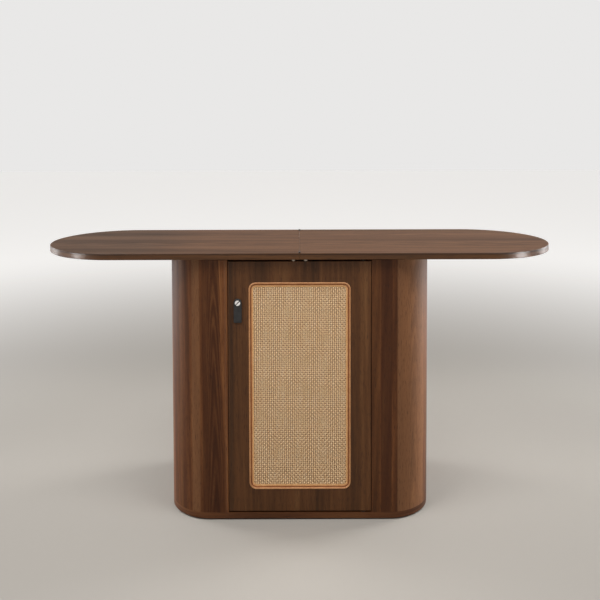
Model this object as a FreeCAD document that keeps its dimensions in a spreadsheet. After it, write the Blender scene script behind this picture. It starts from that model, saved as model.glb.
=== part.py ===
import FreeCAD, Part
import os
import re
import Sketcher

# A narrow kitchen table on a rounded cabinet with a cane door. Its round-ended top is two leaves: the right
# leaf folds over the left one, and the folded pair slides along to lie squarely on the cabinet.
# Millimetres. X runs along the table, the door faces -Y, and the origin is on the floor under the middle.

# Driving dimensions
DRIVING = {
    # Table top
    "table_length": 1500, "table_depth": 440, "table_height": 760, "top_thickness": 18,
    "seam_gap": 0.6, "leaf_edge_ease": 1.2,
    # Cabinet shell
    "base_width": 750, "front_overhang": 17, "corner_radius": 122, "wall": 18, "jamb_flat": 51.4,
    "bottom_thickness": 18, "bottom_edge_ease": 1, "deck_thickness": 25, "fit_gap": 0.3,
    "leaf_gap": 4, "running_gap": 0.5,
    # Floor glides
    "glide_height": 3, "glide_side": 28, "glide_inset": 40,
    # Shelf
    "shelf_level": 372, "shelf_thickness": 16, "shelf_setback": 12, "shelf_pin_radius": 2.5,
    "shelf_pin_length": 16, "shelf_pin_setback": 45,
    # Slide rails, runners and glide strips
    "rail_setback": 75, "rail_width": 24, "rail_depth": 12, "rail_wall": 2, "rail_slot": 8, "rail_reach": 44,
    "runner_end_gap": 5, "strip_width": 24, "strip_inset": 12, "strip_margin": 8,
    # Door and its pivots
    "door_thickness": 16, "door_side_gap": 1.6, "door_bottom_gap": 4, "door_top_gap": 0.5,
    "door_edge_ease": 0.8, "pivot_inset": 22, "pivot_clearance": 0.05, "pivot_pin_radius": 3.5,
    "pivot_pin_depth": 20, "pivot_top_radius": 3, "pivot_plate_thickness": 3, "pivot_plate_width": 14,
    "pivot_plate_seat": 40,
    "bush_radius": 5.5, "bush_depth": 10, "bush_flange_radius": 7, "bush_flange_thickness": 1.5,
    "collar_radius": 6.5, "swing_clearance": 3,
    # Door stop and magnetic catch
    "stop_width": 12, "stop_depth": 14, "catch_width": 14, "catch_length": 44, "catch_drop": 70,
    "strike_thickness": 1.5, "strike_margin": 3,
    # Cane panel let into the door
    "door_stile": 57.5, "door_top_rail": 59, "door_bottom_rail": 63, "cane_corner": 20, "cane_recess": 5,
    "cane_thickness": 1.5,
    "trim_width": 4.5, "trim_proud": 1.5, "trim_ease": 1.5, "trim_groove": 1, "border_width": 8,
    "border_thickness": 2,
    # Leather pull and its screw
    "pull_width": 22.5, "pull_length": 67.5, "pull_thickness": 5, "pull_corner": 3, "pull_edge_ease": 1,
    "pull_inset": 27.2, "pull_drop": 115.5, "pull_screw_radius": 7.4, "pull_screw_height": 2.6,
    "pull_shank_radius": 2, "pull_shank_depth": 9, "slot_width": 2.2, "slot_depth": 1.3,
    # Fold hinges at the front and rear ends of the seam
    "hinge_width": 26, "hinge_setback": 4, "hinge_rise": 0.4, "hinge_eye_radius": 2.4,
    "hinge_pin_radius": 1.2, "hinge_leg_inner": 0.8, "hinge_gauge": 2, "hinge_plate_length": 32,
    "hinge_knuckle": 10, "hinge_knuckle_gap": 0.4, "hinge_side_gap": 0.3,
    "bolt_head_radius": 5.7, "bolt_head_height": 5.5, "bolt_shank_radius": 2.5,
    "bolt_shank_length": 12, "bolt_from_seam": 17, "bolt_from_edge": 9.5, "bolt_hole_gap": 0.1,
    # How far every cut runs past the piece it cuts
    "overrun": 1,
}

# Sizes and places worked out from the driving dimensions
DERIVED = {
    "leaf_half_length": "table_length / 2", "leaf_half_depth": "table_depth / 2",
    "leaf_bottom": "table_height - top_thickness",
    "base_half_width": "base_width / 2", "base_half_depth": "table_depth / 2 - front_overhang",
    "opening_half": "base_half_width - corner_radius - jamb_flat",
    "inner_half_depth": "base_half_depth - wall",
    "board_top": "glide_height + bottom_thickness",
    "deck_top": "leaf_bottom - leaf_gap", "deck_bottom": "deck_top - deck_thickness",
    "shell_height": "deck_top - board_top",
    "door_half": "opening_half - door_side_gap", "door_bottom": "board_top + door_bottom_gap",
    "door_top": "deck_top - pivot_plate_thickness - door_top_gap", "door_height": "door_top - door_bottom",
    "door_back": "door_thickness - base_half_depth",
    "pivot_x": "door_half - pivot_inset", "pivot_y": "door_thickness / 2 - base_half_depth",
    "tail_reach": "sqrt(pivot_inset ^ 2 + (door_thickness / 2) ^ 2)",
    "deck_front": "pivot_y + tail_reach + swing_clearance",
    "rail_half": "base_half_width - corner_radius + rail_reach",
    "rail_offset": "inner_half_depth - rail_setback",
    "shelf_front": "deck_front + shelf_setback", "shelf_rear": "inner_half_depth - fit_gap",
    "slide_travel": "table_length / 4",
    "runner_length": "2 * rail_half - slide_travel - 2 * runner_end_gap",
    "cane_half": "door_half - door_stile", "cane_low": "door_bottom_rail",
    "cane_high": "door_height - door_top_rail",
    "cane_floor": "cane_recess - base_half_depth", "cane_front": "cane_floor - cane_thickness",
    "pull_x": "pull_inset - door_half", "pull_z": "door_top - pull_drop",
    "hinge_leg_outer": "hinge_leg_inner + hinge_gauge",
    "hinge_place": "leaf_half_depth - hinge_setback - hinge_width / 2",
    "hinge_foot": "top_thickness + hinge_rise", "bolt_out": "leaf_half_depth - bolt_from_edge - hinge_place",
}

doc = FreeCAD.newDocument("KitchenTable")
sheet = doc.addObject("Spreadsheet::Sheet", "Sizes")
for row, (alias, number) in enumerate(DRIVING.items(), start=1):
    sheet.set(f"A{row}", alias)
    sheet.set(f"B{row}", str(number))
    sheet.setAlias(f"B{row}", alias)
doc.recompute()

SIDES = {"left": -1, "right": 1}
ENDS = {"front": -1, "rear": 1}
UPRIGHT = FreeCAD.Rotation()
HALF_TURN = FreeCAD.Rotation(FreeCAD.Vector(0, 0, 1), 180)
ALONG_Y = FreeCAD.Rotation(FreeCAD.Vector(1, 0, 0), 90)
ALONG_X = FreeCAD.Rotation(FreeCAD.Vector(0, 1, 0), 90)
subparts = []


# Ways to write sizes, places and outlines

def formula(text):
    """Spell out a formula's words as cells of the sheet."""
    def spell(match):
        word = match.group()
        if word in DRIVING:
            return f"Sizes.{word}"
        return f"({formula(DERIVED[word])})" if word in DERIVED else word
    return re.sub(r"[a-z][a-z_]*", spell, text)


def value(text):
    """Work out a formula as a number."""
    return FreeCAD.Units.Quantity(sheet.evalExpression(formula(text))).Value


def bind(item, prop, text):
    """Tie one property of an object to a formula."""
    item.setExpression(prop, formula(text))


def place(item, x="0", y="0", z="0", rotation=UPRIGHT):
    """Turn an object, then tie its position to formulas."""
    item.Placement = FreeCAD.Placement(FreeCAD.Vector(), rotation)
    for axis, text in zip("xyz", (x, y, z)):
        bind(item, f"Placement.Base.{axis}", text)
    return item


def keep(item, label):
    """Name a finished piece and list it among the sub-parts."""
    item.Label = label
    subparts.append(item)
    return item


def box(name, low, high):
    """A block between two corners."""
    block = doc.addObject("Part::Box", name)
    for side, start, end in zip(("Length", "Width", "Height"), low, high):
        bind(block, side, f"({end}) - ({start})")
    return place(block, *low)


def rod(name, centre, radius, length, rotation=UPRIGHT):
    """A round bar that starts at a centre and runs along its turned axis."""
    bar = doc.addObject("Part::Cylinder", name)
    bind(bar, "Radius", radius)
    bind(bar, "Height", length)
    return place(bar, *centre, rotation)


def joined(name, pieces):
    """Several simple solids made one."""
    whole = doc.addObject("Part::MultiFuse", name)
    whole.Shapes = pieces
    return whole


def cut_from(name, base, tool):
    """A solid with another one taken out of it."""
    rest = doc.addObject("Part::Cut", name)
    rest.Base = base
    rest.Tool = tool
    return rest


def sketch_in(body, name, plane="XY_Plane", level="0"):
    """An empty sketch on one of the body's own planes, raised to a level."""
    sketch = body.newObject("Sketcher::SketchObject", name)
    support = next(item for item in body.Origin.OriginFeatures if item.Role == plane)
    sketch.AttachmentSupport = [(support, "")]
    sketch.MapMode = "FlatFace"
    bind(sketch, "AttachmentOffset.Base.z", level)
    return sketch


def arc_between(start, end, radius, leftward):
    """A bend from start to end with its centre on the left of the way, or on the right."""
    way = end - start
    across = FreeCAD.Vector(-way.y, way.x, 0).normalize()
    lift = max(radius ** 2 - (way.Length / 2) ** 2, 0) ** 0.5
    centre = (start + end) / 2 + across * (lift if leftward else -lift)
    middle = centre - across * (radius if leftward else -radius)
    return Part.Arc(start, middle, end)


def tie(sketch, kind, ends, text):
    """A dimension of a sketch, tied to a formula."""
    number = sketch.addConstraint(Sketcher.Constraint(kind, *ends, value(text)))
    sketch.setExpression(f"Constraints[{number}]", formula(text))


def outline(sketch, points):
    """A closed outline: (x, y) ends a straight side, (x, y, radius, leftward) ends a bend."""
    spots = [FreeCAD.Vector(value(point[0]), value(point[1]), 0) for point in points]
    tails = []
    for index, point in enumerate(points):
        start, end = spots[index - 1], spots[index]
        if len(point) == 2:
            number = sketch.addGeometry(Part.LineSegment(start, end), False)
            tails.append((number, 1, 2))
        else:
            number = sketch.addGeometry(arc_between(start, end, value(point[2]), point[3]), False)
            tails.append((number, 1, 2) if point[3] else (number, 2, 1))
            tie(sketch, "Radius", (number,), point[2])
    for index, point in enumerate(points):
        number, _, tail = tails[index]
        following, head, _ = tails[(index + 1) % len(points)]
        sketch.addConstraint(Sketcher.Constraint("Coincident", number, tail, following, head))
        tie(sketch, "DistanceX", (-1, 1, number, tail), point[0])
        tie(sketch, "DistanceY", (-1, 1, number, tail), point[1])


def rectangle(sketch, left, right, low, high):
    """A rectangle between two upright and two level sides."""
    outline(sketch, [(right, low), (right, high), (left, high), (left, low)])


def rounded(sketch, left, right, low, high, radius):
    """A rectangle with round corners."""
    outline(sketch, [
        (f"{right} - ({radius})", low), (right, f"{low} + {radius}", radius, True),
        (right, f"{high} - ({radius})"), (f"{right} - ({radius})", high, radius, True),
        (f"{left} + {radius}", high), (left, f"{high} - ({radius})", radius, True),
        (left, f"{low} + {radius}"), (f"{left} + {radius}", low, radius, True),
    ])


def circle(sketch, x, y, radius):
    """A circle about a point."""
    centre = FreeCAD.Vector(value(x), value(y), 0)
    number = sketch.addGeometry(Part.Circle(centre, FreeCAD.Vector(0, 0, 1), value(radius)), False)
    tie(sketch, "Radius", (number,), radius)
    tie(sketch, "DistanceX", (-1, 1, number, 3), x)
    tie(sketch, "DistanceY", (-1, 1, number, 3), y)


def new_body(name):
    """An empty body for one piece."""
    return keep(doc.addObject("PartDesign::Body", name), name)


def raise_pad(body, sketch, length):
    """Material raised from a sketch."""
    pad = body.newObject("PartDesign::Pad", f"{sketch.Name}_pad")
    pad.Profile = sketch
    bind(pad, "Length", length)
    return pad


def sink_pocket(body, sketch, depth, upward=False):
    """Material taken out below a sketch, or above it."""
    pocket = body.newObject("PartDesign::Pocket", f"{sketch.Name}_pocket")
    pocket.Profile = sketch
    pocket.Reversed = upward
    bind(pocket, "Length", depth)
    return pocket


def turn(body, sketch):
    """A solid turned about the sketch's upright axis."""
    turned = body.newObject("PartDesign::Revolution", f"{sketch.Name}_turned")
    turned.Profile = sketch
    turned.ReferenceAxis = (sketch, ["V_Axis"])
    return turned


def ease_edges(body, feature, size, chosen):
    """Take the sharpness off the edges of a feature that a test picks out."""
    doc.recompute()
    names = [f"Edge{number}" for number, edge in enumerate(feature.Shape.Edges, start=1) if chosen(edge)]
    eased = body.newObject("PartDesign::Chamfer", f"{feature.Name}_eased")
    eased.Base = (feature, names)
    bind(eased, "Size", size)
    return eased


def lies_at(edge, axis, level):
    """Whether a whole edge lies at one level of an axis."""
    bounds = edge.BoundBox
    low, high = (getattr(bounds, f"{axis}{end}") for end in ("Min", "Max"))
    return abs(low - level) + abs(high - level) < value("fit_gap")


# Cabinet: bottom board, rounded shell, uprights, deck and shelf

def bottom_board():
    """The board that the shell stands on, with the shell's own outline and a seat for the pivot bush."""
    body = new_body("bottom_board")
    sketch = sketch_in(body, "bottom_outline")
    rounded(sketch, "-base_half_width", "base_half_width", "-base_half_depth", "base_half_depth",
            "corner_radius")
    pad = raise_pad(body, sketch, "bottom_thickness")
    ease_edges(body, pad, "bottom_edge_ease", lambda edge: lies_at(edge, "Z", 0))
    seat = sketch_in(body, "bush_seat", level="bottom_thickness")
    circle(seat, "pivot_x", "pivot_y", "bush_radius")
    sink_pocket(body, seat, "bush_depth")
    place(body, z="glide_height")


def corner_panel(name, rotation, flipped):
    """A bent panel: a flat beside the opening and a quarter bend, as wide as the shell is thick."""
    body = new_body(name)
    sketch = sketch_in(body, f"{name}_outline")
    bend_x, bend_y = "base_half_width - corner_radius", "corner_radius - base_half_depth"
    outline(sketch, [
        (bend_x, "-base_half_depth"), ("base_half_width", bend_y, "corner_radius", True),
        ("base_half_width - wall", bend_y), (bend_x, "-inner_half_depth", "corner_radius - wall", False),
        ("opening_half", "-inner_half_depth"), ("opening_half", "-base_half_depth"),
    ])
    raise_pad(body, sketch, "shell_height")
    place(body, z="deck_top" if flipped else "board_top", rotation=rotation)


def shell():
    """Four corner panels, two end panels between them and a flat back."""
    corner_panel("corner_front_right", UPRIGHT, False)
    corner_panel("corner_rear_left", HALF_TURN, False)
    corner_panel("corner_front_left", FreeCAD.Rotation(FreeCAD.Vector(0, 1, 0), 180), True)
    corner_panel("corner_rear_right", FreeCAD.Rotation(FreeCAD.Vector(1, 0, 0), 180), True)
    reach = "base_half_depth - corner_radius"
    for side, low, high in (("left", "-base_half_width", "wall - base_half_width"),
                            ("right", "base_half_width - wall", "base_half_width")):
        panel = box(f"end_panel_{side}", (low, f"-({reach})", "board_top"), (high, reach, "deck_top"))
        keep(panel, f"end_panel_{side}")
    back = box("back_panel", ("-opening_half", "inner_half_depth", "board_top"),
               ("opening_half", "base_half_depth", "deck_top"))
    keep(back, "back_panel")


def uprights_and_shelf():
    """Two uprights beside the opening, and a shelf that lies on pegs in their faces."""
    peg_level = "shelf_level - shelf_pin_radius"
    peg_rows = {"front": "shelf_front + shelf_pin_setback", "rear": "shelf_rear - shelf_pin_setback"}
    for side, low, high, peg in (
            ("left", "-opening_half - wall", "-opening_half", "-opening_half - shelf_pin_length / 2"),
            ("right", "opening_half", "opening_half + wall", "opening_half - shelf_pin_length / 2")):
        blank = box(f"upright_{side}_blank", (low, "-inner_half_depth", "board_top"),
                    (high, "inner_half_depth", "deck_bottom"))
        holes = []
        for end, peg_y in peg_rows.items():
            centre = (peg, peg_y, peg_level)
            pin = rod(f"shelf_pin_{end}_{side}", centre, "shelf_pin_radius", "shelf_pin_length", ALONG_X)
            keep(pin, f"shelf_pin_{end}_{side}")
            hole = rod(f"peg_hole_{end}_{side}", centre, "shelf_pin_radius", "shelf_pin_length", ALONG_X)
            holes.append(hole)
        keep(cut_from(f"upright_{side}", blank, joined(f"peg_holes_{side}", holes)), f"upright_{side}")
    shelf = box("shelf", ("running_gap - opening_half", "shelf_front", "shelf_level"),
                ("opening_half - running_gap", "shelf_rear", "shelf_level + shelf_thickness"))
    keep(shelf, "shelf")


def deck():
    """The board under the leaves, cut back behind the door and grooved for the rails and the pivot plate."""
    body = new_body("deck")
    sketch = sketch_in(body, "deck_outline")
    far_x, far_y = "base_half_width - wall - fit_gap", "inner_half_depth - fit_gap"
    bend, bend_x = "corner_radius - wall - fit_gap", "base_half_width - corner_radius"
    bend_y = "base_half_depth - corner_radius"
    outline(sketch, [
        (bend_x, f"-({far_y})"), (far_x, f"-({bend_y})", bend, True),
        (far_x, bend_y), (bend_x, far_y, bend, True),
        (f"-({bend_x})", far_y), (f"-({far_x})", bend_y, bend, True),
        (f"-({far_x})", f"-({bend_y})"), (f"-({bend_x})", f"-({far_y})", bend, True),
        ("-opening_half", f"-({far_y})"), ("-opening_half", "deck_front"),
        ("opening_half", "deck_front"), ("opening_half", f"-({far_y})"),
    ])
    raise_pad(body, sketch, "deck_thickness")
    grooves = sketch_in(body, "rail_grooves", level="deck_thickness")
    for sign in ENDS.values():
        middle = f"{sign} * rail_offset"
        rectangle(grooves, "-rail_half", "rail_half", f"{middle} - rail_width / 2",
                  f"{middle} + rail_width / 2")
    sink_pocket(body, grooves, "rail_depth")
    seat = sketch_in(body, "plate_seat", level="deck_thickness")
    rectangle(seat, "pivot_x - pivot_plate_width / 2", "pivot_x + pivot_plate_width / 2",
              "deck_front - overrun", "deck_front + pivot_plate_seat")
    sink_pocket(body, seat, "pivot_plate_thickness")
    place(body, z="deck_bottom")


def floor_glides():
    """Four low square pads under the round corners."""
    diagonal = "(corner_radius - glide_inset) / sqrt(2)"
    for end, sign_y in ENDS.items():
        for side, sign_x in SIDES.items():
            name = f"floor_glide_{end}_{side}"
            x = f"{sign_x} * (base_half_width - corner_radius + {diagonal})"
            y = f"{sign_y} * (base_half_depth - corner_radius + {diagonal})"
            pad = box(name, (f"{x} - glide_side / 2", f"{y} - glide_side / 2", "0"),
                      (f"{x} + glide_side / 2", f"{y} + glide_side / 2", "glide_height"))
            keep(pad, name)


# Slide: channel rails in the deck, runners under the left leaf, strips that the leaves glide on

def slide_rail(end, sign):
    """A channel let into the deck, open along its top by a slot."""
    body = new_body(f"slide_rail_{end}")
    sketch = sketch_in(body, f"rail_section_{end}", "YZ_Plane")
    side, lip, bore = "rail_width / 2", "rail_slot / 2", "rail_width / 2 - rail_wall"
    outline(sketch, [
        (side, "-rail_depth"), (side, "0"), (lip, "0"), (lip, "-rail_wall"),
        (bore, "-rail_wall"), (bore, "rail_wall - rail_depth"),
        (f"-({bore})", "rail_wall - rail_depth"), (f"-({bore})", "-rail_wall"),
        (f"-{lip}", "-rail_wall"), (f"-{lip}", "0"), (f"-{side}", "0"), (f"-{side}", "-rail_depth"),
    ])
    raise_pad(body, sketch, "2 * rail_half")
    place(body, "-rail_half", f"{sign} * rail_offset", "deck_top")


def runner(end, sign):
    """A T-shaped bar under the left leaf whose flange runs inside the rail."""
    body = new_body(f"runner_{end}")
    sketch = sketch_in(body, f"runner_section_{end}", "YZ_Plane")
    flange, stem = "rail_width / 2 - rail_wall - running_gap", "rail_slot / 2 - running_gap"
    over, under = "-rail_wall - running_gap", "rail_wall + running_gap - rail_depth"
    outline(sketch, [
        (flange, under), (flange, over), (stem, over), (stem, "leaf_gap"),
        (f"-({stem})", "leaf_gap"), (f"-({stem})", over), (f"-({flange})", over), (f"-({flange})", under),
    ])
    raise_pad(body, sketch, "runner_length")
    place(body, "runner_end_gap - rail_half", f"{sign} * rail_offset", "deck_top")


def glide_strip(side, sign):
    """A slippery strip across the deck between the rails, just under the leaves."""
    reach = "rail_offset - rail_width / 2 - strip_margin"
    middle = f"{sign} * (base_half_width - wall - strip_inset - strip_width / 2)"
    strip = box(f"glide_strip_{side}", (f"{middle} - strip_width / 2", f"-({reach})", "deck_top"),
                (f"{middle} + strip_width / 2", reach, "leaf_bottom - fit_gap"))
    keep(strip, f"glide_strip_{side}")


def slide():
    """Both rails, both runners and both strips."""
    for end, sign in ENDS.items():
        slide_rail(end, sign)
        runner(end, sign)
    for side, sign in SIDES.items():
        glide_strip(side, sign)


# Door: slab, pivots, stop and catch

def door_panel():
    """The door slab, with a shallow recess for the cane and bores for the pivots and the pull screw."""
    body = new_body("door_panel")
    slab = sketch_in(body, "door_outline", "XZ_Plane")
    rectangle(slab, "-door_half", "door_half", "0", "door_height")
    pad = raise_pad(body, slab, "door_thickness")
    ease_edges(body, pad, "door_edge_ease", lambda edge: lies_at(edge, "Y", -value("door_thickness")))
    recess = sketch_in(body, "cane_recess_outline", "XZ_Plane", "door_thickness")
    rounded(recess, "-cane_half", "cane_half", "cane_low", "cane_high", "cane_corner")
    sink_pocket(body, recess, "cane_recess")
    screw = sketch_in(body, "pull_screw_bore", "XZ_Plane", "door_thickness")
    circle(screw, "pull_x", "pull_z - door_bottom", "pull_shank_radius")
    sink_pocket(body, screw, "pull_shank_depth - pull_thickness")
    for name, level, radius, upward in (("lower", "0", "pivot_pin_radius", True),
                                        ("upper", "door_height", "pivot_top_radius", False)):
        bore = sketch_in(body, f"{name}_pivot_bore", level=level)
        circle(bore, "pivot_x", "-door_thickness / 2", radius)
        sink_pocket(body, bore, "pivot_pin_depth", upward)
    place(body, y="door_back", z="door_bottom")


def door_pivots():
    """A collared pin in a flanged bush below, and a pin in a plate on the deck above."""
    bush = new_body("pivot_bush")
    wall = sketch_in(bush, "bush_section", "XZ_Plane")
    bore = "pivot_pin_radius + pivot_clearance"
    outline(wall, [
        ("bush_radius", "-bush_depth"), ("bush_radius", "0"), ("bush_flange_radius", "0"),
        ("bush_flange_radius", "bush_flange_thickness"), (bore, "bush_flange_thickness"),
        (bore, "-bush_depth"),
    ])
    turn(bush, wall)
    place(bush, "pivot_x", "pivot_y", "board_top")

    pin = new_body("pivot_pin_lower")
    half = sketch_in(pin, "lower_pin_section", "XZ_Plane")
    outline(half, [
        ("pivot_pin_radius", "-bush_depth"), ("pivot_pin_radius", "bush_flange_thickness"),
        ("collar_radius", "bush_flange_thickness"), ("collar_radius", "door_bottom_gap"),
        ("pivot_pin_radius", "door_bottom_gap"), ("pivot_pin_radius", "door_bottom_gap + pivot_pin_depth"),
        ("0", "door_bottom_gap + pivot_pin_depth"), ("0", "-bush_depth"),
    ])
    turn(pin, half)
    place(pin, "pivot_x", "pivot_y", "board_top")

    upper = rod("pivot_pin_upper", ("pivot_x", "pivot_y", "door_top - pivot_pin_depth"), "pivot_top_radius",
                "pivot_pin_depth + door_top_gap + pivot_plate_thickness - fit_gap")
    keep(upper, "pivot_pin_upper")

    plate = new_body("pivot_plate")
    shape = sketch_in(plate, "plate_outline")
    side, back = "pivot_plate_width / 2", "deck_front + pivot_plate_seat - pivot_y"
    outline(shape, [("0", f"-{side}", side, True), (side, "0", side, True), (side, back),
                    (f"-{side}", back), (f"-{side}", "0")])
    circle(shape, "0", "0", "pivot_top_radius + pivot_clearance")
    raise_pad(plate, shape, "pivot_plate_thickness")
    place(plate, "pivot_x", "pivot_y", "deck_top - pivot_plate_thickness")


def door_stop_and_catch():
    """A stop strip and a magnetic catch on the left upright, and the strike on the back of the door."""
    catch_top, catch_low = "deck_bottom - catch_drop", "deck_bottom - catch_drop - catch_length"
    stop = box("door_stop", ("-opening_half", "door_back + fit_gap", "board_top"),
               ("stop_width - opening_half", "door_back + fit_gap + stop_depth", catch_low))
    keep(stop, "door_stop")
    catch_front = "door_back + strike_thickness + fit_gap"
    catch = box("magnetic_catch", ("-opening_half", catch_front, catch_low),
                ("catch_width - opening_half", f"{catch_front} + stop_depth", catch_top))
    keep(catch, "magnetic_catch")
    strike = box("strike_plate", ("strike_margin - door_half", "door_back", f"{catch_low} + strike_margin"),
                 ("strike_margin + catch_width - door_half", "door_back + strike_thickness",
                  f"{catch_top} - strike_margin"))
    keep(strike, "strike_plate")


# Cane panel: a woven sheet held by a flat border, with a half-round bead round the recess

def inset_outline(sketch, inset):
    """The cane recess's outline, drawn in by an inset on every side."""
    rounded(sketch, f"{inset} - cane_half", f"cane_half - ({inset})", f"cane_low + {inset}",
            f"cane_high - ({inset})", f"cane_corner - ({inset})")


def cane_sheet():
    """The thin sheet of cane on the floor of the recess."""
    body = new_body("cane_panel")
    sketch = sketch_in(body, "cane_outline", "XZ_Plane")
    inset_outline(sketch, "trim_width")
    raise_pad(body, sketch, "cane_thickness")
    place(body, y="cane_floor", z="door_bottom")


def cane_ring(name, outer, inner, thickness, back):
    """A flat ring between two insets of the recess's outline."""
    body = new_body(name)
    sketch = sketch_in(body, f"{name}_outline", "XZ_Plane")
    inset_outline(sketch, outer)
    inset_outline(sketch, inner)
    pad = raise_pad(body, sketch, thickness)
    place(body, y=back, z="door_bottom")
    return body, pad


def cane_edging():
    """The bead that hides the recess's edge, and the plain border inside it."""
    bead, pad = cane_ring("cane_trim", "0", "trim_width", "cane_recess + trim_proud", "cane_floor")
    front = -value("cane_recess + trim_proud")
    ease_edges(bead, pad, "trim_ease", lambda edge: lies_at(edge, "Y", front))
    inside = "trim_width + trim_groove"
    cane_ring("cane_border", inside, f"{inside} + border_width", "border_thickness", "cane_front")


# Leather pull and its slotted screw

def pull():
    """A tab with a round head about the screw, and a slotted screw through it into the door."""
    tab = new_body("pull_tab")
    sketch = sketch_in(tab, "pull_outline", "XZ_Plane")
    side, foot = "pull_width / 2", "pull_width / 2 - pull_length"
    outline(sketch, [
        (f"{side} - pull_corner", foot), (side, f"{foot} + pull_corner", "pull_corner", True), (side, "0"),
        ("0", side, side, True), (f"-{side}", "0", side, True), (f"-{side}", f"{foot} + pull_corner"),
        (f"pull_corner - {side}", foot, "pull_corner", True),
    ])
    pad = raise_pad(tab, sketch, "pull_thickness")
    ease_edges(tab, pad, "pull_edge_ease", lambda edge: lies_at(edge, "Y", -value("pull_thickness")))
    bore = sketch_in(tab, "pull_bore", "XZ_Plane", "pull_thickness")
    circle(bore, "0", "0", "pull_shank_radius")
    sink_pocket(tab, bore, "pull_thickness + overrun")
    place(tab, "pull_x", "-base_half_depth", "pull_z")

    screw = new_body("pull_screw")
    half = sketch_in(screw, "pull_screw_section", "XZ_Plane")
    outline(half, [
        ("pull_shank_radius", "-pull_shank_depth"), ("pull_shank_radius", "0"), ("pull_screw_radius", "0"),
        ("pull_screw_radius", "pull_screw_height"),
        ("0", "pull_screw_height"), ("0", "-pull_shank_depth"),
    ])
    turn(screw, half)
    slot = sketch_in(screw, "screw_slot", level="pull_screw_height")
    rectangle(slot, "-pull_screw_radius - overrun", "pull_screw_radius + overrun", "-slot_width / 2",
              "slot_width / 2")
    sink_pocket(screw, slot, "slot_depth")
    slanted = FreeCAD.Rotation(FreeCAD.Vector(0, 0, 1), 45)
    place(screw, "pull_x", "-base_half_depth - pull_thickness", "pull_z", ALONG_Y * slanted)


# Table top: two leaves, and the fold hinges at both ends of the seam

def leaf(side, rotation):
    """Half of the round-ended top, notched at the seam for the hinges."""
    body = new_body(f"{side}_leaf_panel")
    sketch = sketch_in(body, f"{side}_leaf_outline")
    seam, bend_x = "-seam_gap / 2", "leaf_half_depth - leaf_half_length"
    outline(sketch, [
        (seam, "-leaf_half_depth"), (seam, "leaf_half_depth"), (bend_x, "leaf_half_depth"),
        ("-leaf_half_length", "0", "leaf_half_depth", True),
        (bend_x, "-leaf_half_depth", "leaf_half_depth", True),
    ])
    pad = raise_pad(body, sketch, "top_thickness")
    levels = (0, value("top_thickness"))
    seam_x = value(seam)
    ease_edges(body, pad, "leaf_edge_ease", lambda edge: any(lies_at(edge, "Z", level) for level in levels)
               and not lies_at(edge, "X", seam_x))
    notches = sketch_in(body, f"{side}_hinge_notches", level="top_thickness")
    seats = sketch_in(body, f"{side}_hinge_seats")
    bores = sketch_in(body, f"{side}_bolt_bores")
    for sign in ENDS.values():
        low = f"{sign} * hinge_place - hinge_width / 2 - hinge_side_gap"
        high = f"{sign} * hinge_place + hinge_width / 2 + hinge_side_gap"
        rectangle(notches, "-hinge_leg_outer", "overrun", low, high)
        rectangle(seats, "-hinge_plate_length", "-hinge_leg_outer", low, high)
        circle(bores, "-bolt_from_seam", f"{sign} * (hinge_place + bolt_out)",
               "bolt_shank_radius + bolt_hole_gap")
    sink_pocket(body, notches, "top_thickness + overrun")
    sink_pocket(body, seats, "hinge_gauge", upward=True)
    sink_pocket(body, bores, "bolt_shank_length + bolt_hole_gap", upward=True)
    place(body, z="leaf_bottom", rotation=rotation)


def knuckles(name, spans):
    """The eyes of one strap about the hinge axis, each with the end of the leg that carries it."""
    pieces = []
    neck_foot = "-hinge_eye_radius - hinge_knuckle_gap"
    for number, (low, high) in enumerate(spans):
        length = f"{high} - ({low})"
        eye = rod(f"{name}_eye_{number}", ("0", high, "0"), "hinge_eye_radius", length, ALONG_Y)
        neck = box(f"{name}_neck_{number}", ("-hinge_leg_outer", low, neck_foot),
                   ("-hinge_leg_inner", high, "0"))
        pieces += [eye, neck]
    return pieces


def hinge_strap(name, spans, outward, x_turn, y):
    """An angled strap: a plate let into a leaf's underside, a leg up the seam and eyes at the top of it."""
    half = "hinge_width / 2"
    plate = box(f"{name}_plate", ("-hinge_plate_length", f"-{half}", "-hinge_foot"),
                ("-hinge_leg_inner", half, "hinge_gauge - hinge_foot"))
    leg = box(f"{name}_leg", ("-hinge_leg_outer", f"-{half}", "-hinge_foot"),
              ("-hinge_leg_inner", half, "-hinge_eye_radius - hinge_knuckle_gap"))
    solid = joined(f"{name}_solid", [plate, leg] + knuckles(name, spans))
    bore = rod(f"{name}_bore", ("0", half, "0"), "hinge_pin_radius + pivot_clearance", "hinge_width", ALONG_Y)
    hole = rod(f"{name}_hole", ("-bolt_from_seam", f"{outward} * bolt_out", "-hinge_foot - overrun"),
               "bolt_shank_radius + bolt_hole_gap", "hinge_gauge + 2 * overrun")
    strap = cut_from(name, solid, joined(f"{name}_holes", [bore, hole]))
    place(strap, y=y, z="table_height + hinge_rise", rotation=x_turn)
    keep(strap, name)


def hinge_bolt(name, x, y):
    """A round-headed bolt up through a strap's plate into its leaf."""
    body = new_body(name)
    half = sketch_in(body, f"{name}_section", "XZ_Plane")
    outline(half, [
        ("0", "-bolt_head_height"), ("bolt_head_radius", "-bolt_head_height"), ("bolt_head_radius", "0"),
        ("bolt_shank_radius", "0"), ("bolt_shank_radius", "bolt_shank_length"),
        ("0", "bolt_shank_length"),
    ])
    turn(body, half)
    place(body, x, y, "leaf_bottom")


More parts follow.
